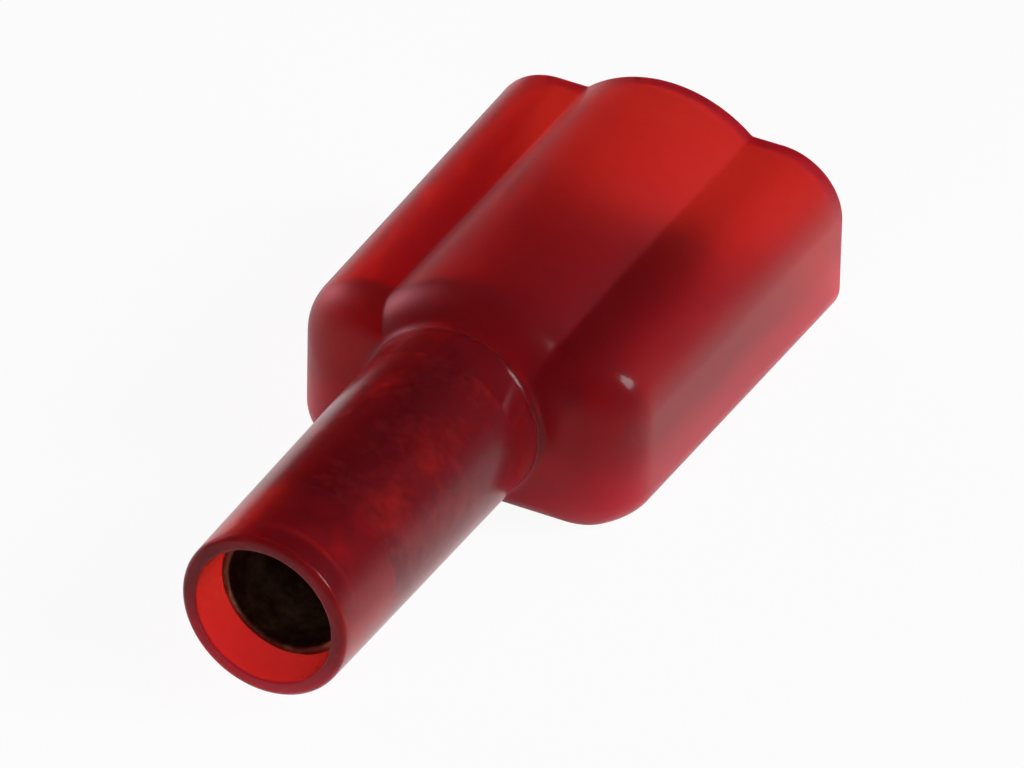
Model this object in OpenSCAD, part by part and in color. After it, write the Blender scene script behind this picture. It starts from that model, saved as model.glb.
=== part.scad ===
// Fully insulated male spade terminal for thin wire. A nylon housing carries the
// wire tube and an open shroud, a plated sleeve lines the tube, and a stamped
// terminal has its wire barrel in the sleeve and its flat tab in the shroud.
// X runs from the wire mouth to the mating end, Z is up, and the flat underside
// of the shroud lies on Z = 0 below the middle of the part.

/* [Terminal] */
// Thickness of the sheet that the terminal is stamped from
sheet_t = 0.8; // [0.7:0.05:0.9]
// Width of the tab
tab_w = 6.35; // [5.5:0.05:7.5]
// Length of the tab from the web to its tip
tab_len = 9.2; // [8:0.1:11]
// Length of the sloping corners at the tip
tip_slope = 0.9; // [0.5:0.05:1.4]
// Length of the lead-in bevels on the tip's two faces
tip_bevel_len = 0.7; // [0.4:0.05:1]
// Depth of those bevels
tip_bevel_depth = 0.22; // [0.1:0.02:0.3]
// Diameter of the catch hole in the tab
catch_hole_d = 1.7; // [1.4:0.05:2]
// Distance from the tip to the catch hole
catch_hole_from_tip = 4; // [3.2:0.1:4.8]
// Inner diameter of the wire barrel
barrel_bore_d = 1.7; // [1.5:0.05:1.9]
// Lead-in chamfer at the barrel's mouth
barrel_chamfer = 0.2; // [0.1:0.05:0.3]
// Distance from the end of the sleeve's grip bore back to the barrel's mouth
barrel_inset = 0.3; // [0.1:0.1:0.8]
// Width of the neck where it leaves the barrel
neck_w = 3; // [2.4:0.1:3.4]
// Length of the level stretch of the neck under the barrel's end
neck_flat = 0.35; // [0.3:0.05:0.5]
// Length of the slope from the neck up to the tab
rise_len = 1.2; // [0.9:0.05:1.6]
// Width and depth of the brazed seam along the barrel
seam = 0.16; // [0.1:0.02:0.24]
// Drop of the tab's middle below the barrel's axis
tab_drop = 0.1; // [0:0.05:0.7]

/* [Sleeve] */
// Wall of the sleeve on the barrel
sleeve_wall = 0.44; // [0.4:0.01:0.55]
// Distance from the tube's mouth to the sleeve
sleeve_set_back = 1.42; // [0.8:0.02:2.2]
// Length of sleeve in front of the barrel that grips the wire's insulation
grip_len = 4.2; // [3:0.1:5]
// Step from the sleeve's seat on the barrel out to the wider grip bore
grip_step = 0.18; // [0.16:0.01:0.22]
// Rounding of the sleeve's front edge
sleeve_edge = 0.1; // [0.04:0.01:0.12]

/* [Wire tube] */
// Length of the tube from its mouth to the shoulder
tube_len = 11.8; // [10.5:0.1:14]
// Wall of the tube at its mouth
tube_wall = 0.48; // [0.4:0.02:0.7]
// Growth of the tube's radius from mouth to shoulder
tube_draft = 0.14; // [0.02:0.02:0.3]
// Gap under the tube at the shoulder
tube_lift = 0.15; // [0.05:0.05:0.4]
// Length of the wider bore at the mouth
mouth_bore_len = 3.4; // [2.4:0.1:4.5]
// Step from the sleeve's seat out to the wider bore
mouth_step = 0.05; // [0.02:0.01:0.1]
// Rounding of the mouth's outer edge
lip_round = 0.2; // [0.1:0.02:0.26]
// Rounding of the mouth's inner edge
lip_inner_round = 0.09; // [0.04:0.01:0.12]
// Distance from the floor of the sleeve's seat to the shoulder
seat_floor = 0.9; // [0.5:0.1:1.4]
// Fillet where the tube meets the shoulder
neck_fillet = 0.25; // [0.1:0.05:0.5]

/* [Shroud] */
// Free room in the shroud beside each edge of the tab
tab_side_room = 1.775; // [1.3:0.025:2.2]
// Free room in the shroud past the tab's tip
tip_recess = 2.6; // [1.5:0.1:3.5]
// Free height of the shroud's cavity beside the dome
cavity_h = 4.02; // [3.7:0.02:4.6]
// Side walls of the shroud at the mating end
side_wall = 0.9; // [0.7:0.05:1.1]
// Walls of the shroud above and below the cavity
flat_wall = 0.75; // [0.6:0.05:0.9]
// Narrowing of each side from the mating end to the shoulder
shroud_draft = 0.235; // [0.05:0.01:0.35]
// Thickness of the web between the shoulder and the cavity
web_t = 2.1; // [1.8:0.1:3]
// Depth of the pocket in the web that seats the tab's root
pocket_depth = 1.2; // [1:0.05:1.4]
// Rounding of the shroud's upper long edges
top_round = 2.04; // [1.4:0.02:2.2]
// Rounding of the shroud's lower long edges
base_round = 1.06; // [0.7:0.02:1.2]
// Rounding of the cavity's upper long edges
cavity_top_round = 1.3; // [0.8:0.05:1.6]
// Rounding of the cavity's lower long edges
cavity_base_round = 0.4; // [0.2:0.05:0.7]
// Rounding of the shoulder's upright edges, seen from above
nose_side_round = 1.885; // [1.4:0.005:2.1]
// Rounding of the shoulder's upper edge
nose_top_round = 1.34; // [0.8:0.02:1.5]
// Rounding of the shoulder's lower edge
nose_base_round = 0.63; // [0.3:0.01:0.9]
// Width of the dome where it leaves the flat top
dome_w = 5.54; // [4.6:0.02:6]
// Height of the dome above the flat top
dome_rise = 1.05; // [0.8:0.05:1.3]

/* [Fits] */
// Gap between barrel and sleeve, and between barrel and web
barrel_gap = 0.05; // [0.02:0.01:0.1]
// Gap between sleeve and tube
sleeve_gap = 0.01; // [0.005:0.005:0.03]
// Gap round the tab's root in its pocket
pocket_gap = 0.05; // [0.02:0.01:0.1]

/* [Hidden] */
$fn = 64;
round_fn = 32;     // sides of the discs that blend the shoulder
nose_steps = 8;    // stations along the shoulder's rounding
skin = 0.01;       // thickness of those discs
cut = 0.1;         // reach of a cutter past the face that it opens

// Diameters, each from the piece inside it
barrel_d = barrel_bore_d + 2 * sheet_t;
sleeve_bore_d = barrel_d + 2 * barrel_gap;
sleeve_d = sleeve_bore_d + 2 * sleeve_wall;
seat_d = sleeve_d + 2 * sleeve_gap;
mouth_bore_d = seat_d + 2 * mouth_step;
tube_mouth_d = mouth_bore_d + 2 * tube_wall;
tube_root_d = tube_mouth_d + 2 * tube_draft;

// Places along X
shroud_len = web_t + tab_len + tip_recess;
part_len = tube_len + shroud_len;
x_mouth = -part_len / 2;
x_shoulder = x_mouth + tube_len;
x_seat_floor = x_shoulder - seat_floor;
x_cavity = x_shoulder + web_t;
x_pocket = x_cavity - pocket_depth;
x_end = part_len / 2;
x_sleeve = x_mouth + sleeve_set_back;
x_barrel = x_sleeve + grip_len + barrel_inset;
x_tip = x_cavity + tab_len;

// Heights and widths
axis_h = tube_root_d / 2 + tube_lift;
wing_h = cavity_h + 2 * flat_wall;
cavity_w = tab_w + 2 * tab_side_room;
shroud_w = cavity_w + 2 * side_wall;
dome_r = (pow(dome_w / 2, 2) + pow(dome_rise, 2)) / (2 * dome_rise);
dome_axis_h = wing_h + dome_rise - dome_r;
tab_base_h = axis_h - tab_drop - sheet_t / 2;
barrel_base_h = axis_h - barrel_d / 2;
nose_len = max(nose_side_round, nose_top_round, nose_base_round);

// How far a rounded edge has drawn back at distance s behind its start
function setback(r, s) = s < r ? r - sqrt(r * r - (r - s) * (r - s)) : 0;

// Turns a shape drawn along Z so that it runs along X from a point on the wire axis
module along_wire(x) translate([x, 0, axis_h]) rotate([0, 90, 0]) children();

// Extrudes an outline drawn in Y and Z along X
module along_x(x, len) translate([x, 0, 0]) rotate([90, 0, 90]) linear_extrude(len) children();

// Outline of a box with two radii, drawn in Y and Z
module soft_box(w, low, high, r_top, r_base) {
    translate([-w / 2, low + r_base]) square([w, high - low - r_top - r_base]);
    translate([-w / 2 + r_top, low + r_base]) square([w - 2 * r_top, high - low - r_base]);
    translate([-w / 2 + r_base, low]) square([w - 2 * r_base, high - low - r_top]);
    for (side = [-1, 1]) {
        translate([side * (w / 2 - r_top), high - r_top]) circle(r_top);
        translate([side * (w / 2 - r_base), low + r_base]) circle(r_base);
    }
}

// One thin disc of the shroud's rounded long edges, at distance s behind the shoulder
module edge_disc(s, y, z, r)
    translate([x_shoulder + min(s, shroud_len - skin), y, z])
        rotate([0, 90, 0]) cylinder(r = r, h = skin, $fn = round_fn);

// The shroud's outside without its dome: rounded at the shoulder and widening to the end
module shroud_body() {
    nose = [for (i = [0:nose_steps]) nose_len * (1 - cos(90 * i / nose_steps))];
    hull()
        for (s = concat(nose, [shroud_len]), side = [-1, 1]) {
            half_w = shroud_w / 2 - shroud_draft * (1 - s / shroud_len) - setback(nose_side_round, s);
            top_h = wing_h - setback(nose_top_round, s);
            base_h = setback(nose_base_round, s);
            edge_disc(s, side * (half_w - top_round), top_h - top_round, top_round);
            edge_disc(s, side * (half_w - base_round), base_h + base_round, base_round);
        }
}

// The dome: the upper half of a round bar with a rounded end
module dome()
    translate([x_shoulder, 0, dome_axis_h]) intersection() {
        rotate([0, 90, 0]) rotate_extrude() {
            square([dome_r - nose_top_round, shroud_len]);
            translate([0, nose_top_round]) square([dome_r, shroud_len - nose_top_round]);
            translate([dome_r - nose_top_round, nose_top_round]) circle(nose_top_round);
        }
        translate([0, -dome_r, 0]) cube([shroud_len, 2 * dome_r, dome_r]);
    }

// The wire tube's outside, a slight cone with a rounded lip, run into the web
module tube() {
    lip_r = tube_mouth_d / 2;
    along_wire(x_mouth) rotate_extrude() {
        polygon([[0, 0], [lip_r - lip_round, 0], [lip_r - lip_round, lip_round], [lip_r, lip_round],
                 [tube_root_d / 2, tube_len], [tube_root_d / 2, tube_len + web_t], [0, tube_len + web_t]]);
        translate([lip_r - lip_round, lip_round]) circle(lip_round);
    }
}

// Fillet between tube and shoulder, backed by a collar inside the web and cut level with the underside
module neck_ring() {
    root_r = tube_root_d / 2 - tube_draft * neck_fillet / tube_len;
    intersection() {
        along_wire(x_shoulder) rotate_extrude() difference() {
            translate([0, -neck_fillet]) square([root_r + neck_fillet, neck_fillet + nose_top_round]);
            translate([root_r + neck_fillet, -neck_fillet]) circle(neck_fillet);
        }
        translate([x_shoulder - tube_len, -shroud_w / 2, 0]) cube([part_len, shroud_w, wing_h + dome_rise]);
    }
}

// All that is open in the tube: the mouth's rounded edge, the two bores and the way through the web
module wire_way() {
    along_wire(x_mouth) {
        rotate_extrude() difference() {
            square([mouth_bore_d / 2 + lip_inner_round, lip_inner_round]);
            translate([mouth_bore_d / 2 + lip_inner_round, lip_inner_round]) circle(lip_inner_round);
        }
        translate([0, 0, -cut]) cylinder(d = mouth_bore_d, h = mouth_bore_len + cut);
        cylinder(d = seat_d, h = tube_len - seat_floor);
        cylinder(d = barrel_d + 2 * barrel_gap, h = tube_len + web_t + cut);
    }
}

// The mating cavity with its domed roof, open at the end
module cavity()
    along_x(x_cavity, x_end - x_cavity + cut) {
        soft_box(cavity_w, flat_wall, wing_h - flat_wall, cavity_top_round, cavity_base_round);
        intersection() {
            translate([0, dome_axis_h]) circle(dome_r - flat_wall);
            translate([-dome_r, wing_h / 2]) square([2 * dome_r, wing_h]);
        }
    }

// The pocket in the web's cavity side that the tab's root sits in
module root_pocket() {
    low = barrel_base_h - pocket_gap;
    high = tab_base_h + sheet_t + pocket_gap;
    translate([x_pocket, -tab_w / 2 - pocket_gap, low])
        cube([pocket_depth + cut, tab_w + 2 * pocket_gap, high - low]);
}

module housing()
    color([0.72, 0.09, 0.1]) difference() {
        union() {
            shroud_body();
            dome();
            tube();
            neck_ring();
        }
        wire_way();
        cavity();
        root_pocket();
    }

// The drawn sleeve: a rounded front edge, the grip bore, then the seat on the barrel
module grip_sleeve() {
    sleeve_len = x_seat_floor - x_sleeve;
    grip_r = sleeve_bore_d / 2 + grip_step;
    outer_r = sleeve_d / 2;
    color([0.62, 0.55, 0.5]) along_wire(x_sleeve) rotate_extrude() {
        translate([sleeve_bore_d / 2, grip_len]) square([sleeve_wall, sleeve_len - grip_len]);
        translate([grip_r, sleeve_edge]) square([outer_r - grip_r, grip_len]);
        translate([grip_r + sleeve_edge, 0]) square([outer_r - grip_r - 2 * sleeve_edge, grip_len]);
        for (r = [grip_r + sleeve_edge, outer_r - sleeve_edge])
            translate([r, sleeve_edge]) circle(sleeve_edge);
    }
}

// The rolled wire barrel, with a lead-in at its mouth and the brazed seam along its top
module wire_barrel() {
    barrel_len = x_pocket + pocket_gap + neck_flat - x_barrel;
    along_wire(x_barrel) difference() {
        cylinder(d = barrel_d, h = barrel_len);
        translate([0, 0, -cut]) cylinder(d = barrel_bore_d, h = barrel_len + 2 * cut);
        cylinder(r1 = barrel_bore_d / 2 + barrel_chamfer, r2 = barrel_bore_d / 2, h = barrel_chamfer);
        translate([-barrel_d / 2, 0, -cut])
            rotate([0, 0, 45]) translate([-seam / 2, -seam / 2, 0]) cube([seam, seam, barrel_len + 2 * cut]);
    }
}

// Neck and tab seen from the side: level under the barrel, up a slope out of the pocket, then the tab
module blade_side() {
    x_root = x_pocket + pocket_gap;
    x_rise = x_root + neck_flat;
    bend = sheet_t * tan(atan2(tab_base_h - barrel_base_h, rise_len) / 2);
    polygon([[x_root, barrel_base_h], [x_rise + bend, barrel_base_h], [x_rise + bend + rise_len, tab_base_h],
             [x_tip - tip_bevel_len, tab_base_h], [x_tip, tab_base_h + tip_bevel_depth],
             [x_tip, tab_base_h + sheet_t - tip_bevel_depth], [x_tip - tip_bevel_len, tab_base_h + sheet_t],
             [x_rise + rise_len, tab_base_h + sheet_t], [x_rise, barrel_base_h + sheet_t],
             [x_root, barrel_base_h + sheet_t]]);
}

// Neck and tab seen from above: the neck widens to the tab, and the tip's corners slope in
module blade_plan() {
    x_root = x_pocket + pocket_gap;
    polygon([for (side = [-1, 1]) each let (half = [
                [x_root, neck_w / 2], [x_root + neck_flat, neck_w / 2], [x_cavity, tab_w / 2],
                [x_tip - tip_slope, tab_w / 2], [x_tip, tab_w / 2 - tip_slope]])
            [for (i = [0:4]) let (p = half[side < 0 ? i : 4 - i]) [p.x, side * p.y]]]);
}

module tab_terminal()
    color([0.78, 0.74, 0.66]) {
        wire_barrel();
        difference() {
            intersection() {
                translate([0, tab_w / 2 + cut, 0]) rotate([90, 0, 0]) linear_extrude(tab_w + 2 * cut) blade_side();
                linear_extrude(wing_h) blade_plan();
            }
            translate([x_tip - catch_hole_from_tip, 0, tab_base_h - cut])
                cylinder(d = catch_hole_d, h = sheet_t + 2 * cut);
            along_wire(x_barrel) cylinder(d = barrel_bore_d, h = x_pocket + pocket_gap + neck_flat - x_barrel);
        }
    }

housing();
grip_sleeve();
tab_terminal();
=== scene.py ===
import math

import bmesh
import bpy
import numpy as np
from mathutils import Matrix, Vector


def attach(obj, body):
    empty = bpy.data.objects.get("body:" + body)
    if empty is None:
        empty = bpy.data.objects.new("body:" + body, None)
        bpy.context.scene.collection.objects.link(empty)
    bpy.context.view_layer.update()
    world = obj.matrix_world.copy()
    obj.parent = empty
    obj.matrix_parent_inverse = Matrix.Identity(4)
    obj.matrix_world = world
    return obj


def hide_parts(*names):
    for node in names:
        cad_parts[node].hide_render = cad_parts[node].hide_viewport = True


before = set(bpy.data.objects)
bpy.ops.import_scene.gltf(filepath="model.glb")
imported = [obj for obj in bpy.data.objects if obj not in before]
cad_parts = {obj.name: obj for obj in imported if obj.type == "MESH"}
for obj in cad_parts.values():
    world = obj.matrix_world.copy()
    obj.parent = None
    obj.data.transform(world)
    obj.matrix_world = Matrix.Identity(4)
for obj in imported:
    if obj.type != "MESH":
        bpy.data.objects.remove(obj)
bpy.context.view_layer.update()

# Terminal: brass strip, stamped out flat, rolled into the wire barrel behind and left flat
# as the tab in front, then tin plated. The tab's root sits in a pocket in the housing's web.
# The lengths of the three pieces are in millimetres.
MM = 0.001
wire_axis_height = 2.97
barrel_mouth_x = -6.93
barrel_end_x = 0.25
barrel_bore_radius = 0.85
barrel_radius = 1.65
barrel_chamfer = 0.2
barrel_edge = 0.08
barrel_sides = 96
seam_depth = 0.08
trough_start_x = -1.0
tab_root_x = -0.1
tab_rise_x = 0.25
tab_rise_length = 1.2
tab_rise_bend = 0.322
web_face_x = 1.05
tab_tip_x = 10.25
tab_half_width = 3.175
neck_half_width = 1.5
tip_slope = 0.9
tip_bevel_length = 0.7
tip_bevel_depth = 0.22
sheet_thickness = 0.8
barrel_base_height = 1.32
tab_base_height = 2.47
sheared_edge = 0.07
sheared_edge_points = 4
tip_edge = 0.05
catch_hole_x = 6.25
catch_hole_radius = 0.85
catch_hole_edge = 0.05
bore_sides = 64
cutter_reach = 0.1
metal_sharp_angle = math.radians(30)
tin_colour = (0.36, 0.32, 0.27, 1.0)
worn_tin_colour = (0.28, 0.235, 0.19, 1.0)
tin_worn_below = 0.35
tin_bright_above = 0.6
tin_roughness_low = 0.22
tin_roughness_high = 0.42
tin_stain_scale = 420.0
tin_stain_detail = 5.0
rolling_stretch = (120, 2600, 2600)
rolling_scale = 1.0
rolling_detail = 4.0
rolling_strength = 0.25
rolling_depth = 0.00002


def ring_shell(name, rows, wrap):
    """A mesh piece through closed rows of points; with wrap the last row meets the first."""
    rows = np.asarray(rows, float)
    count, around = rows.shape[:2]
    index = np.arange(count * around).reshape(count, around)
    upper = np.roll(index, -1, axis=0)
    if not wrap:
        index = index[:-1]
        upper = upper[:-1]
    sides = np.stack([index, np.roll(index, -1, axis=1), np.roll(upper, -1, axis=1), upper], axis=-1)
    faces = sides.reshape(-1, 4).tolist()
    if not wrap:
        faces.append(list(range(around))[::-1])
        faces.append(list(range((count - 1) * around, count * around)))
    mesh = bpy.data.meshes.new(name)
    mesh.from_pydata((rows.reshape(-1, 3) * MM).tolist(), [], faces)
    shell = bmesh.new()
    shell.from_mesh(mesh)
    bmesh.ops.recalc_face_normals(shell, faces=shell.faces)
    shell.to_mesh(mesh)
    shell.free()
    piece = bpy.data.objects.new(name, mesh)
    bpy.context.scene.collection.objects.link(piece)
    return piece


def full_turn(sides):
    """Angles that step evenly once round."""
    return np.linspace(0, 2 * math.pi, sides, endpoint=False)


def turned(profile, angles):
    """Rows for a profile of (x, radius) points turned about the wire axis."""
    x, radius = np.asarray(profile, float).T[:, :, None]
    across = radius * np.cos(angles)
    height = wire_axis_height + radius * np.sin(angles)
    return np.stack([np.broadcast_to(x, across.shape), across, height], axis=-1)


def cut_or_join(piece, tool, operation):
    """Cuts a tool piece out of a piece or joins it on, and takes the tool away."""
    change = piece.modifiers.new("change", "BOOLEAN")
    change.operation = operation
    change.solver = "MANIFOLD"
    change.object = tool
    made = piece.evaluated_get(bpy.context.evaluated_depsgraph_get())
    mesh = bpy.data.meshes.new_from_object(made)
    piece.modifiers.clear()
    piece.data = mesh
    bpy.data.objects.remove(tool)


def round_rectangle(half_width, low, high, edge):
    """Points of a rectangle with rounded corners in Y and Z."""
    points = []
    for turn, (side, level) in enumerate([(1, high), (-1, high), (-1, low), (1, low)]):
        for angle in np.radians(np.linspace(90 * turn, 90 * turn + 90, sheared_edge_points)):
            across = side * (half_width - edge) + edge * math.cos(angle)
            height = level - edge * np.sign(level - (low + high) / 2) + edge * math.sin(angle)
            points.append((across, height))
    return points


def blade_rows():
    """Sections of neck and tab from the barrel's end to the tip."""
    rise_x = [tab_rise_x, tab_rise_x + tab_rise_length]
    heights = [barrel_base_height, tab_base_height]
    plan_x = [tab_rise_x, web_face_x, tab_tip_x - tip_slope, tab_tip_x]
    plan_half = [neck_half_width, tab_half_width, tab_half_width, tab_half_width - tip_slope]
    bevel_x = [tab_tip_x - tip_bevel_length, tab_tip_x]
    stations = [
        tab_root_x,
        tab_rise_x,
        tab_rise_x + tab_rise_bend,
        web_face_x,
        tab_rise_x + tab_rise_length,
        tab_rise_x + tab_rise_length + tab_rise_bend,
        tab_tip_x - tip_slope,
        tab_tip_x - tip_bevel_length,
        tab_tip_x - tip_edge,
    ]
    rows = []
    for x in stations:
        low = np.interp(x - tab_rise_bend, rise_x, heights)
        high = np.interp(x, rise_x, heights) + sheet_thickness
        inset = np.interp(x, bevel_x, [0, tip_bevel_depth])
        half_width = np.interp(x, plan_x, plan_half)
        outline = round_rectangle(half_width, low + inset, high - inset, sheared_edge)
        rows.append([(x, across, height) for across, height in outline])
    tip_middle = np.mean(rows[-1], axis=0)
    tip_shrink = (1, 1 - tip_edge, 1 - 3 * tip_edge)
    rows.append(tip_middle + (np.array(rows[-1]) - tip_middle) * tip_shrink + (tip_edge, 0, 0))
    return rows


barrel_rows = turned(
    [
        (barrel_mouth_x, barrel_bore_radius + barrel_chamfer),
        (barrel_mouth_x, barrel_radius - barrel_edge),
        (barrel_mouth_x + barrel_edge, barrel_radius),
        (barrel_end_x, barrel_radius),
        (barrel_end_x, barrel_bore_radius),
        (barrel_mouth_x + barrel_chamfer, barrel_bore_radius),
    ],
    full_turn(barrel_sides),
)
seam_place = barrel_sides // 4
barrel_rows[1:4, seam_place, 2] -= seam_depth
terminal = ring_shell("tab_terminal_dressed", blade_rows(), wrap=False)
trough_profile = [(trough_start_x, barrel_bore_radius), (tab_rise_x, barrel_bore_radius)]
trough = ring_shell("trough", turned(trough_profile, full_turn(bore_sides)), wrap=False)
cut_or_join(terminal, trough, "DIFFERENCE")
tab_top_height = tab_base_height + sheet_thickness
hole_profile = [
    (tab_base_height - cutter_reach, catch_hole_radius + cutter_reach),
    (tab_base_height, catch_hole_radius + catch_hole_edge),
    (tab_base_height + catch_hole_edge, catch_hole_radius),
    (tab_top_height - catch_hole_edge, catch_hole_radius),
    (tab_top_height, catch_hole_radius + catch_hole_edge),
    (tab_top_height + cutter_reach, catch_hole_radius + cutter_reach),
]
hole_rows = []
for height, radius in hole_profile:
    hole_rows.append([
        (catch_hole_x + radius * math.cos(angle), radius * math.sin(angle), height)
        for angle in full_turn(bore_sides)
    ])
catch_hole = ring_shell("catch_hole", hole_rows, wrap=False)
cut_or_join(terminal, catch_hole, "DIFFERENCE")
barrel = ring_shell("barrel", barrel_rows, wrap=True)
cut_or_join(terminal, barrel, "UNION")
terminal.data.shade_smooth()
terminal.data.set_sharp_from_angle(angle=metal_sharp_angle)


def noise(tree, place, scale, detail):
    """Noise at the given places, as a value from 0 to 1."""
    node = tree.nodes.new("ShaderNodeTexNoise")
    node.inputs["Scale"].default_value = scale
    node.inputs["Detail"].default_value = detail
    tree.links.new(place, node.inputs["Vector"])
    return node


def mapped(tree, value, start, end, low, high, smooth=False):
    """A value mapped from one range onto another and held at the ends."""
    node = tree.nodes.new("ShaderNodeMapRange")
    if smooth:
        node.interpolation_type = "SMOOTHSTEP"
    node.inputs["From Min"].default_value = start
    node.inputs["From Max"].default_value = end
    node.inputs["To Min"].default_value = low
    node.inputs["To Max"].default_value = high
    tree.links.new(value, node.inputs["Value"])
    return node.outputs["Result"]


def two_tone(tree, value, low, low_colour, high, high_colour):
    """A colour that runs from one tone to another between two levels of a value."""
    node = tree.nodes.new("ShaderNodeValToRGB")
    node.color_ramp.elements[0].position = low
    node.color_ramp.elements[0].color = low_colour
    node.color_ramp.elements[1].position = high
    node.color_ramp.elements[1].color = high_colour
    tree.links.new(value, node.inputs["Fac"])
    return node.outputs["Color"]


def bumped(tree, height, strength, depth):
    """A bump node that tilts the surface where a height changes."""
    node = tree.nodes.new("ShaderNodeBump")
    node.inputs["Strength"].default_value = strength
    node.inputs["Distance"].default_value = depth
    tree.links.new(height, node.inputs["Height"])
    return node


bright_tin = bpy.data.materials.new("bright_tin")
bright_tin.use_nodes = True
tree = bright_tin.node_tree
shader = tree.nodes["Principled BSDF"]
shader.inputs["Metallic"].default_value = 1.0
place = tree.nodes.new("ShaderNodeTexCoord").outputs["Object"]
stretch = tree.nodes.new("ShaderNodeMapping")
stretch.inputs["Scale"].default_value = rolling_stretch
tree.links.new(place, stretch.inputs["Vector"])
rolling = noise(tree, stretch.outputs["Vector"], rolling_scale, rolling_detail).outputs["Fac"]
stain = noise(tree, place, tin_stain_scale, tin_stain_detail).outputs["Fac"]
tint = two_tone(tree, stain, tin_worn_below, worn_tin_colour, tin_bright_above, tin_colour)
gloss = mapped(tree, rolling, 0.0, 1.0, tin_roughness_low, tin_roughness_high)
grain = bumped(tree, rolling, rolling_strength, rolling_depth)
tree.links.new(tint, shader.inputs["Base Color"])
tree.links.new(gloss, shader.inputs["Roughness"])
tree.links.new(grain.outputs["Normal"], shader.inputs["Normal"])
terminal.data.materials.clear()
terminal.data.materials.append(bright_tin)
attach(terminal, "root")
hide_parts("tab_terminal")

# Sleeve: a short tube of thin plated brass, drawn and slid over the barrel. Its seat holds the
# barrel, and the wider bore in front grips the wire's insulation when the terminal is crimped.
sleeve_front_x = -11.43
sleeve_end_x = -1.94
sleeve_radius = 2.14
grip_radius = 1.88
grip_end_x = -7.23
sleeve_seat_radius = 1.7
sleeve_edge = 0.1
sleeve_edge_points = 6
sleeve_wall_rows = 10
sleeve_sides = 160
# Where the tarnish noise runs high the sleeve takes its bright brass colour. This is partly tarnish and
# partly painted glint: golden patches that stand in for the key lamp's highlights on the sleeve.
sleeve_brass_glint_colour = (0.46, 0.29, 0.17, 1.0)
sleeve_dull_colour = (0.13, 0.05, 0.03, 1.0)
sleeve_dull_below = 0.48
sleeve_bright_above = 0.66
sleeve_metallic = 0.92
sleeve_roughness_low = 0.34
sleeve_roughness_high = 0.5
speckle_scale = 14000.0
speckle_detail = 3.0
speckle_strength = 0.3
speckle_depth = 0.00002
tarnish_glint_scale = 380.0
tarnish_glint_detail = 8.0
tarnish_glint_roughness = 0.68
dent_strength = 0.3
dent_depth = 0.0003

edge_turn = np.radians(np.linspace(0, 90, sleeve_edge_points))
wall_start_x = sleeve_front_x + sleeve_edge
sleeve_profile = []
for angle in edge_turn:
    sleeve_profile.append((
        wall_start_x - sleeve_edge * math.sin(angle),
        grip_radius + sleeve_edge - sleeve_edge * math.cos(angle),
    ))
for angle in edge_turn:
    sleeve_profile.append((
        wall_start_x - sleeve_edge * math.cos(angle),
        sleeve_radius - sleeve_edge + sleeve_edge * math.sin(angle),
    ))
for share in np.linspace(1 / sleeve_wall_rows, 1, sleeve_wall_rows):
    sleeve_profile.append((wall_start_x + share * (sleeve_end_x - wall_start_x), sleeve_radius))
sleeve_profile.append((sleeve_end_x, sleeve_seat_radius))
sleeve_profile.append((grip_end_x, sleeve_seat_radius))
sleeve_profile.append((grip_end_x, grip_radius))
sleeve_rows = turned(sleeve_profile, full_turn(sleeve_sides))
sleeve = ring_shell("grip_sleeve_dressed", sleeve_rows, wrap=True)
sleeve.data.shade_smooth()
sleeve.data.set_sharp_from_angle(angle=metal_sharp_angle)

dull_plate = bpy.data.materials.new("dull_plate")
dull_plate.use_nodes = True
tree = dull_plate.node_tree
shader = tree.nodes["Principled BSDF"]
shader.inputs["Metallic"].default_value = sleeve_metallic
place = tree.nodes.new("ShaderNodeTexCoord").outputs["Object"]
speckle = noise(tree, place, speckle_scale, speckle_detail).outputs["Fac"]
# Tarnish and painted glints: one noise lays dull tarnish and bright golden patches that stand in for
# highlights, and the same noise dents the surface.
tarnish_glint_noise = noise(tree, place, tarnish_glint_scale, tarnish_glint_detail)
tarnish_glint_noise.inputs["Roughness"].default_value = tarnish_glint_roughness
tarnish_and_glint = tarnish_glint_noise.outputs["Fac"]
tint = two_tone(tree, tarnish_and_glint, sleeve_dull_below, sleeve_dull_colour, sleeve_bright_above, sleeve_brass_glint_colour)
gloss = mapped(tree, speckle, 0.0, 1.0, sleeve_roughness_low, sleeve_roughness_high)
dents = bumped(tree, tarnish_and_glint, dent_strength, dent_depth)
grain = bumped(tree, speckle, speckle_strength, speckle_depth)
tree.links.new(dents.outputs["Normal"], grain.inputs["Normal"])
tree.links.new(tint, shader.inputs["Base Color"])
tree.links.new(gloss, shader.inputs["Roughness"])
tree.links.new(grain.outputs["Normal"], shader.inputs["Normal"])
sleeve.data.materials.append(dull_plate)
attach(sleeve, "root")
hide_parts("grip_sleeve")

# Housing: one moulding of translucent red nylon, pressed over sleeve and barrel. The wire tube
# and the domed shroud are one wall, and a web between them holds the tab's root.
mouth_x = -12.85
shoulder_x = -1.05
mating_end_x = 12.85
cavity_x = 1.05
shroud_length = mating_end_x - shoulder_x
tube_mouth_radius = 2.68
tube_root_radius = 2.82
lip_round = 0.2
lip_inner_round = 0.09
mouth_bore_radius = 2.2
mouth_bore_end_x = -9.45
seat_radius = 2.13
seat_floor_x = -1.95
passage_radius = 1.7
neck_fillet = 0.3
shroud_half_width = 5.85
shroud_draft = 0.235
wing_height = 5.52
top_round = 2.04
base_round = 1.06
nose_side_round = 1.885
nose_top_round = 1.34
nose_base_round = 0.63
dome_radius = 4.178
dome_axis_height = 2.392
dome_least_rise = 0.1
dome_blend = 0.05
flat_wall = 0.75
cavity_half_width = 4.95
cavity_top_round = 1.3
cavity_base_round = 0.4
rim_round = 0.08
web_fillet = 0.15
pocket_x = -0.15
pocket_half_width = 3.225
pocket_low = 1.27
pocket_high = 3.32
least_slope = 1e-9
no_hit = 1e9
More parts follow.
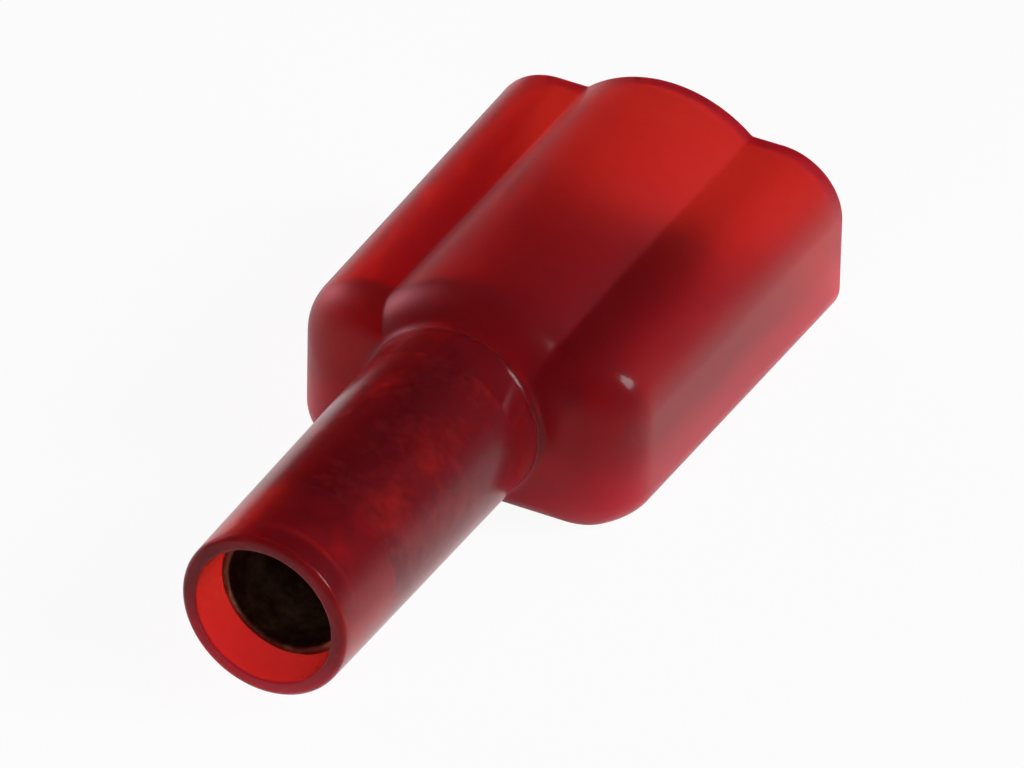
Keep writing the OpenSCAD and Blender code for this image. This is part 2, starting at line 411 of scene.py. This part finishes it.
half_turn_points = 200
outline_samples = 20001
shoulder_samples = 240
shoulder_row_count = 46
round_points = 8
tube_steps = 40
fillet_steps = 9
shroud_steps = 10
inside_steps = 8
mouth_steps = 6
nylon_sharp_angle = math.radians(35)
nylon_tint = (0.95, 0.034, 0.07, 1.0)
nylon_tint_pale = (0.98, 0.044, 0.085, 1.0)
nylon_tint_below = 0.3
nylon_pale_above = 0.7
nylon_depth_colour = (0.842, 0.85, 0.14, 1.0)
nylon_depth_density = 2500.0
nylon_clarity = [(-2.0, 0.905), (-1.4, 0.895), (0.9, 0.895), (1.4, 0.88), (12.1, 0.88), (12.5, 0.75)]
nylon_frost = 0.25
nylon_frost_height = 3.2
nylon_ior = 1.48
nylon_mirror_tint = (0.05, 0.05, 0.05, 1.0)
nylon_coat = 0.22
nylon_coat_roughness = 0.14
nylon_scatter = (1.0, 0.15, 0.1)
nylon_scatter_scale = 0.002
tube_roughness = 0.19
shroud_roughness = 0.38
flow_roughness = 0.06
flow_scale = 260.0
flow_detail = 3.0
satin_from_radius = tube_root_radius + 0.02
satin_to_radius = tube_root_radius + 0.08
satin_from_x = 0.5
satin_to_x = 0.7
skin_scale = 5000.0
skin_detail = 2.0
skin_strength = 0.15
skin_depth = 0.00003


def drawn_back(radius, distance):
    """How far a rounded edge has drawn back at a distance behind its start."""
    left = np.clip(radius - distance, 0, radius)
    return radius - np.sqrt(radius * radius - left * left)


def far_hit(angles, centre_across, centre_height, radius):
    """Where rays from the wire axis leave a circle; zero where they miss it."""
    height = centre_height - wire_axis_height
    along = centre_across * np.abs(np.cos(angles)) + height * np.sin(angles)
    inside = along * along - centre_across ** 2 - height ** 2 + radius ** 2
    return np.where(inside > 0, along + np.sqrt(np.maximum(inside, 0)), 0)


def box_reach(angles, half_width, low, high, upper_round, lower_round):
    """Distance from the wire axis to the outline of a rounded box."""
    across = np.maximum(np.abs(np.cos(angles)), least_slope)
    rise = np.sin(angles)
    to_roof = np.where(rise > 0, (high - wire_axis_height) / np.maximum(rise, least_slope), no_hit)
    to_base = np.where(rise < 0, (wire_axis_height - low) / np.maximum(-rise, least_slope), no_hit)
    reach = np.minimum(np.minimum(half_width / across, to_roof), to_base)
    for edge, level, sign in ((upper_round, high, 1), (lower_round, low, -1)):
        centre_across = half_width - edge
        centre_height = level - sign * edge
        hit = far_hit(angles, centre_across, centre_height, edge)
        beyond_side = hit * across > centre_across
        beyond_level = sign * (wire_axis_height + hit * rise - centre_height) > 0
        reach = np.where((hit > 0) & beyond_side & beyond_level, hit, reach)
    return reach


def blend_greater(first, second, width):
    """The greater of two reaches, with the crease between them filled."""
    share = np.maximum(width - np.abs(first - second), 0) / width
    return np.maximum(first, second) + share * share * width / 4


def shroud_reach(angles, distance):
    """Distance from the wire axis to the shroud's outside, at a distance behind the shoulder."""
    half_width = shroud_half_width - shroud_draft * (1 - distance / shroud_length)
    half_width = half_width - drawn_back(nose_side_round, distance)
    high = wing_height - drawn_back(nose_top_round, distance)
    low = drawn_back(nose_base_round, distance)
    wings = box_reach(angles, half_width, low, high, top_round, base_round)
    dome = far_hit(angles, 0, dome_axis_height, dome_radius - drawn_back(nose_top_round, distance))
    dome = np.where(np.sin(angles) > dome_least_rise, dome, 0)
    return blend_greater(wings, dome, dome_blend)


def cavity_reach(angles):
    """Distance from the wire axis to the wall of the mating cavity."""
    roof = wing_height - flat_wall
    box = box_reach(angles, cavity_half_width, flat_wall, roof, cavity_top_round, cavity_base_round)
    arch = far_hit(angles, 0, dome_axis_height, dome_radius - flat_wall)
    arch = np.where(np.sin(angles) > dome_least_rise, arch, 0)
    return blend_greater(box, arch, dome_blend)


def even_angles():
    """Directions round the wire axis that step evenly along the shroud's outline."""
    half = np.linspace(-math.pi / 2, math.pi / 2, outline_samples)
    reach = shroud_reach(half, shroud_length)
    path = np.hypot(np.diff(reach * np.cos(half)), np.diff(reach * np.sin(half)))
    travelled = np.concatenate([[0], np.cumsum(path)])
    steps = np.linspace(0, travelled[-1], half_turn_points + 1)
    right = np.interp(steps, travelled, half)
    return np.concatenate([right, math.pi - right[-2:0:-1]])


def tube_radius_at(x):
    """The tube's outside radius at a place along the wire axis."""
    draft = tube_root_radius - tube_mouth_radius
    return tube_mouth_radius + draft * (x - mouth_x) / (shoulder_x - mouth_x)


def shoulder_rows(angles):
    """Where the tube ends, and the rows from there up the shoulder to the shroud's straight wall."""
    turn = np.linspace(0, math.pi / 2, shoulder_samples)
    distances = nose_side_round * (1 - np.cos(turn))
    meet_x = np.zeros(len(angles))
    rows = np.zeros((shoulder_row_count, len(angles), 2))
    for i, angle in enumerate(angles):
        reach = shroud_reach(np.full(len(distances), angle), distances)
        below = reach < tube_root_radius
        start = np.interp(tube_root_radius, reach, distances) if below[0] else 0.0
        line_x = np.concatenate([[start], distances[~below]]) + shoulder_x
        line_r = np.concatenate([[tube_root_radius], reach[~below]])
        path = np.concatenate([[0], np.cumsum(np.hypot(np.diff(line_x), np.diff(line_r)))])
        steps = np.linspace(neck_fillet, path[-1], shoulder_row_count)
        rows[:, i, 0] = np.interp(steps, path, line_x)
        rows[:, i, 1] = np.interp(steps, path, line_r)
        meet_x[i] = line_x[0]
    return meet_x, rows


def shares(steps):
    """Even shares of a stretch, without its start."""
    return np.linspace(0, 1, steps)[1:]


def housing_rows(angles):
    """Rows round the whole wall: up the outside, over the rim, back through cavity and bores."""
    rows = []

    def add(x, radius):
        rows.append(np.stack(np.broadcast_arrays(x, radius, angles)[:2], axis=-1))

    quarter = np.radians(np.linspace(0, 90, round_points))
    for angle in quarter:
        lip_x = mouth_x + lip_round * (1 - math.cos(angle))
        add(lip_x, tube_mouth_radius - lip_round * (1 - math.sin(angle)))
    meet_x, shoulder = shoulder_rows(angles)
    tube_end_x = meet_x - neck_fillet
    for share in shares(tube_steps):
        x = mouth_x + lip_round + share * (tube_end_x - mouth_x - lip_round)
        add(x, tube_radius_at(x))
    tube_end_radius = tube_radius_at(tube_end_x)
    meet_radius = tube_radius_at(meet_x)
    for share in shares(fillet_steps)[:-1]:
        before = (1 - share) ** 2
        corner = 2 * share * (1 - share)
        after = share ** 2
        add(before * tube_end_x + corner * meet_x + after * shoulder[0, :, 0],
            before * tube_end_radius + corner * meet_radius + after * shoulder[0, :, 1])
    for row in shoulder:
        add(row[:, 0], row[:, 1])
    for share in shares(shroud_steps):
        distance = nose_side_round + share * (shroud_length - rim_round - nose_side_round)
        add(shoulder_x + distance, shroud_reach(angles, distance))
    outer = shroud_reach(angles, shroud_length - rim_round)
    inner = cavity_reach(angles)
    for angle in quarter[1:]:
        rim_x = mating_end_x - rim_round * (1 - math.sin(angle))
        add(rim_x, outer - rim_round * (1 - math.cos(angle)))
    for angle in quarter:
        rim_x = mating_end_x - rim_round * (1 - math.cos(angle))
        add(rim_x, inner + rim_round * (1 - math.sin(angle)))
    for share in shares(inside_steps):
        add(mating_end_x - rim_round + share * (cavity_x + web_fillet - mating_end_x + rim_round), inner)
    for angle in quarter[1:]:
        web_x = cavity_x + web_fillet * (1 - math.sin(angle))
        add(web_x, inner - web_fillet * (1 - math.cos(angle)))
    for share in shares(inside_steps):
        add(cavity_x, (inner - web_fillet) * (1 - share) + passage_radius * share)
    add(seat_floor_x, passage_radius)
    add(seat_floor_x, seat_radius)
    for share in shares(inside_steps):
        add(seat_floor_x + share * (mouth_bore_end_x - seat_floor_x), seat_radius)
    add(mouth_bore_end_x, mouth_bore_radius)
    for share in shares(mouth_steps):
        bore_x = mouth_bore_end_x + share * (mouth_x + lip_inner_round - mouth_bore_end_x)
        add(bore_x, mouth_bore_radius)
    for angle in quarter[1:]:
        lip_x = mouth_x + lip_inner_round * (1 - math.sin(angle))
        add(lip_x, mouth_bore_radius + lip_inner_round * (1 - math.cos(angle)))
    x, radius = np.moveaxis(np.array(rows), -1, 0)
    return np.stack([x, radius * np.cos(angles), wire_axis_height + radius * np.sin(angles)], axis=-1)


housing = ring_shell("housing_dressed", housing_rows(even_angles()), wrap=True)
pocket_outline = [
    (pocket_half_width, pocket_low),
    (pocket_half_width, pocket_high),
    (-pocket_half_width, pocket_high),
    (-pocket_half_width, pocket_low),
]
pocket_rows = []
for x in (pocket_x, cavity_x + cutter_reach):
    pocket_rows.append([(x, across, height) for across, height in pocket_outline])
pocket = ring_shell("pocket", pocket_rows, wrap=False)
cut_or_join(housing, pocket, "DIFFERENCE")
housing.data.shade_smooth()
housing.data.set_sharp_from_angle(angle=nylon_sharp_angle)


def worked_out(tree, operation, *terms):
    """One value worked out from others; each term is a node's output or a fixed number."""
    node = tree.nodes.new("ShaderNodeMath")
    node.operation = operation
    for socket, term in zip(node.inputs, terms):
        if isinstance(term, float):
            socket.default_value = term
        else:
            tree.links.new(term, socket)
    return node.outputs["Value"]


red_nylon = bpy.data.materials.new("red_nylon")
red_nylon.use_nodes = True
tree = red_nylon.node_tree
shader = tree.nodes["Principled BSDF"]
shader.inputs["Subsurface Weight"].default_value = 1.0
shader.inputs["Subsurface Radius"].default_value = nylon_scatter
shader.inputs["Subsurface Scale"].default_value = nylon_scatter_scale
shader.inputs["IOR"].default_value = nylon_ior
shader.inputs["Specular Tint"].default_value = nylon_mirror_tint
shader.inputs["Coat Weight"].default_value = nylon_coat
shader.inputs["Coat Roughness"].default_value = nylon_coat_roughness
place = tree.nodes.new("ShaderNodeTexCoord").outputs["Object"]
flow = noise(tree, place, flow_scale, flow_detail).outputs["Fac"]
tint = two_tone(tree, flow, nylon_tint_below, nylon_tint, nylon_pale_above, nylon_tint_pale)
tree.links.new(tint, shader.inputs["Base Color"])
split = tree.nodes.new("ShaderNodeSeparateXYZ")
tree.links.new(place, split.inputs["Vector"])
along = mapped(tree, split.outputs["X"], mouth_x * MM, mating_end_x * MM, 0.0, 1.0)
clarity = tree.nodes.new("ShaderNodeValToRGB")
clarity.color_ramp.elements.remove(clarity.color_ramp.elements[1])
for number, (x, level) in enumerate(nylon_clarity):
    position = (x - mouth_x) / (mating_end_x - mouth_x)
    stop = clarity.color_ramp.elements.new(position) if number else clarity.color_ramp.elements[0]
    stop.position = position
    stop.color = (level, level, level, 1.0)
tree.links.new(along, clarity.inputs["Fac"])
frost = mapped(tree, split.outputs["Z"], 0.0, nylon_frost_height * MM, nylon_frost, 0.0, smooth=True)
clear_share = worked_out(tree, "SUBTRACT", clarity.outputs["Color"], frost)
tree.links.new(clear_share, shader.inputs["Transmission Weight"])
from_axis = tree.nodes.new("ShaderNodeVectorMath")
from_axis.operation = "MULTIPLY_ADD"
from_axis.inputs[1].default_value = (0, 1, 1)
from_axis.inputs[2].default_value = (0, 0, -wire_axis_height * MM)
tree.links.new(place, from_axis.inputs[0])
radius = tree.nodes.new("ShaderNodeVectorMath")
radius.operation = "LENGTH"
tree.links.new(from_axis.outputs["Vector"], radius.inputs[0])
off_tube = mapped(tree, radius.outputs["Value"], satin_from_radius * MM, satin_to_radius * MM, 0.0, 1.0)
past_tube = mapped(tree, split.outputs["X"], satin_from_x * MM, satin_to_x * MM, 0.0, 1.0)
satin = worked_out(tree, "MAXIMUM", off_tube, past_tube)
polish = mapped(tree, satin, 0.0, 1.0, tube_roughness, shroud_roughness)
sheen = worked_out(tree, "MULTIPLY_ADD", flow, flow_roughness, polish)
tree.links.new(sheen, shader.inputs["Roughness"])
skin = noise(tree, place, skin_scale, skin_detail).outputs["Fac"]
grain = bumped(tree, skin, skin_strength, skin_depth)
tree.links.new(grain.outputs["Normal"], shader.inputs["Normal"])
depth = tree.nodes.new("ShaderNodeVolumeAbsorption")
depth.inputs["Color"].default_value = nylon_depth_colour
depth.inputs["Density"].default_value = nylon_depth_density
tree.links.new(depth.outputs["Volume"], tree.nodes["Material Output"].inputs["Volume"])
housing.data.materials.clear()
housing.data.materials.append(red_nylon)
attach(housing, "root")
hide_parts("housing")

# Floor: a wide sheet of matt white paper that the terminal lies on. It shows as near white, keeps
# the terminal's soft shadow and is darker away from the terminal, so that its mirror image in
# the nylon stays faint. Its lengths, and those of the lamps, are in metres.
floor_half = 6.0
floor_drop = 0.00002
floor_colour = 0.82
floor_glow_seen = 0.93
floor_glow_mirrored = 0.5
floor_glow_behind = 0.35
sheet_bright_to = 0.016
sheet_dim_from = 0.07
far_floor_colour = 0.35
far_floor_mirrored = 0.1

floor_corners = [
    (-floor_half, -floor_half, 0),
    (floor_half, -floor_half, 0),
    (floor_half, floor_half, 0),
    (-floor_half, floor_half, 0),
]
floor_mesh = bpy.data.meshes.new("floor")
floor_mesh.from_pydata(floor_corners, [], [(0, 1, 2, 3)])
floor = bpy.data.objects.new("floor", floor_mesh)
floor.location.z = -floor_drop
bpy.context.scene.collection.objects.link(floor)

white_paper = bpy.data.materials.new("white_paper")
white_paper.use_nodes = True
tree = white_paper.node_tree
tree.nodes.clear()
place = tree.nodes.new("ShaderNodeTexCoord").outputs["Object"]
reach = tree.nodes.new("ShaderNodeVectorMath")
reach.operation = "LENGTH"
tree.links.new(place, reach.inputs[0])
distance = reach.outputs["Value"]
shade = mapped(tree, distance, sheet_bright_to, sheet_dim_from, floor_colour, far_floor_colour)
lit = tree.nodes.new("ShaderNodeBsdfDiffuse")
tree.links.new(shade, lit.inputs["Color"])
glow = tree.nodes.new("ShaderNodeEmission")
glow.inputs["Strength"].default_value = 1.0
image = mapped(tree, distance, sheet_bright_to, sheet_dim_from, floor_glow_mirrored, far_floor_mirrored)
rays = tree.nodes.new("ShaderNodeLightPath").outputs
seen = worked_out(tree, "MULTIPLY", rays["Is Camera Ray"], floor_glow_seen)
mirrored = worked_out(tree, "MULTIPLY_ADD", rays["Is Glossy Ray"], image, seen)
behind = worked_out(tree, "MULTIPLY_ADD", rays["Is Transmission Ray"], floor_glow_behind, mirrored)
paper = tree.nodes.new("ShaderNodeMixShader")
tree.links.new(behind, paper.inputs["Fac"])
tree.links.new(lit.outputs["BSDF"], paper.inputs[1])
tree.links.new(glow.outputs["Emission"], paper.inputs[2])
surface = tree.nodes.new("ShaderNodeOutputMaterial")
tree.links.new(paper.outputs["Shader"], surface.inputs["Surface"])
floor_mesh.materials.append(white_paper)

# Light: a white cloth tent round the table, dark towards its open top and behind the terminal on
# the left, and four square soft lamps. The key lamp stands high on the right and makes the glints.
# Low lamps on the right, in front and on the left fill in, and the left one has a warm filter.
tent_white = 0.35
tent_top = 0.02
tent_white_to = math.sin(math.radians(2))
tent_top_from = math.sin(math.radians(14))
tent_shade = 0.15
tent_shade_side = (0.77, 0.64, 0.0)
tent_shade_from = 0.4
tent_shade_full = 0.95
tent_colour = (0.88, 0.88, 1.0, 1.0)
lamp_aim = Vector((0, 0, 0.003))
white_light = (1.0, 1.0, 1.0)
warm_light = (1.0, 0.42, 0.5)

tent = bpy.data.worlds.new("tent")
tent.use_nodes = True
bpy.context.scene.world = tent
tree = tent.node_tree
direction = tree.nodes.new("ShaderNodeTexCoord").outputs["Generated"]
split = tree.nodes.new("ShaderNodeSeparateXYZ")
tree.links.new(direction, split.inputs["Vector"])
fade = mapped(tree, split.outputs["Z"], tent_white_to, tent_top_from, tent_white, tent_top, smooth=True)
towards = tree.nodes.new("ShaderNodeVectorMath")
towards.operation = "DOT_PRODUCT"
towards.inputs[1].default_value = tent_shade_side
tree.links.new(direction, towards.inputs[0])
facing = towards.outputs["Value"]
shade = mapped(tree, facing, tent_shade_from, tent_shade_full, 1.0, tent_shade, smooth=True)
dimmed = worked_out(tree, "MULTIPLY", fade, shade)
background = tree.nodes["Background"]
background.inputs["Color"].default_value = tent_colour
tree.links.new(dimmed, background.inputs["Strength"])


def soft_lamp(name, place, width, power, colour, mirrored, through):
    """A square lamp that faces the terminal; where asked, it is mirrored and shines through."""
    lamp = bpy.data.lights.new(name, "AREA")
    lamp.size = width
    lamp.energy = power
    lamp.color = colour
    holder = bpy.data.objects.new(name, lamp)
    holder.visible_glossy = mirrored
    holder.visible_transmission = through
    holder.location = place
    holder.rotation_mode = "QUATERNION"
    holder.rotation_quaternion = (lamp_aim - Vector(place)).to_track_quat("-Z", "Y")
    bpy.context.scene.collection.objects.link(holder)


soft_lamp("key_lamp", place=(0.16, -0.37, 0.26), width=0.15, power=1.08,
          colour=white_light, mirrored=True, through=True)
soft_lamp("right_lamp", place=(0.06, -0.42, 0.06), width=0.3, power=2.5,
          colour=white_light, mirrored=False, through=False)
soft_lamp("front_lamp", place=(-0.36, -0.04, 0.1), width=0.3, power=1.1,
          colour=white_light, mirrored=False, through=False)
soft_lamp("left_lamp", place=(0.1, 0.42, 0.05), width=0.3, power=3.8,
          colour=warm_light, mirrored=False, through=True)

# Camera: a long lens about 0.4 m away that looks down on the wire's end from the right. Its place,
# turn and scale are those at which the terminal's outline fits the photograph. Its lengths are
# in millimetres, and places in the picture are in pixels.
view_from = Vector((-0.7316, -0.3736, 0.5702)).normalized()
view_right = Vector((0.4548, -0.8906, 0.0)).normalized()
view_up = view_from.cross(view_right)
roll = math.radians(1.1306)
view_distance = 397.3
focus_point = Vector((0.0208, 0.0, 3.0))
focus_across = 470.669
focus_down = 392.987
pixels_per_mm = 34.0053
image_width = 1024
image_height = 768
sensor_width = 36.0
nearest_seen = 10.0
frame_right = (image_width / 2 - focus_across) / pixels_per_mm
frame_up = (focus_down - image_height / 2) / pixels_per_mm

camera = bpy.data.objects.new("camera", bpy.data.cameras.new("camera"))
camera.data.sensor_width = sensor_width
camera.data.lens = pixels_per_mm * view_distance * sensor_width / image_width
camera.data.clip_start = nearest_seen * MM
camera_right = view_right * math.cos(roll) + view_up * math.sin(roll)
camera_up = view_up * math.cos(roll) - view_right * math.sin(roll)
camera_place = focus_point + view_from * view_distance
aim = focus_point + camera_right * frame_right + camera_up * frame_up
back = (camera_place - aim).normalized()
right = camera_up.cross(back).normalized()
turn = Matrix((right, back.cross(right), back)).transposed()
camera.matrix_world = Matrix.Translation(camera_place * MM) @ turn.to_4x4()
bpy.context.scene.collection.objects.link(camera)
bpy.context.scene.camera = camera
bpy.context.scene.view_settings.view_transform = "Standard"
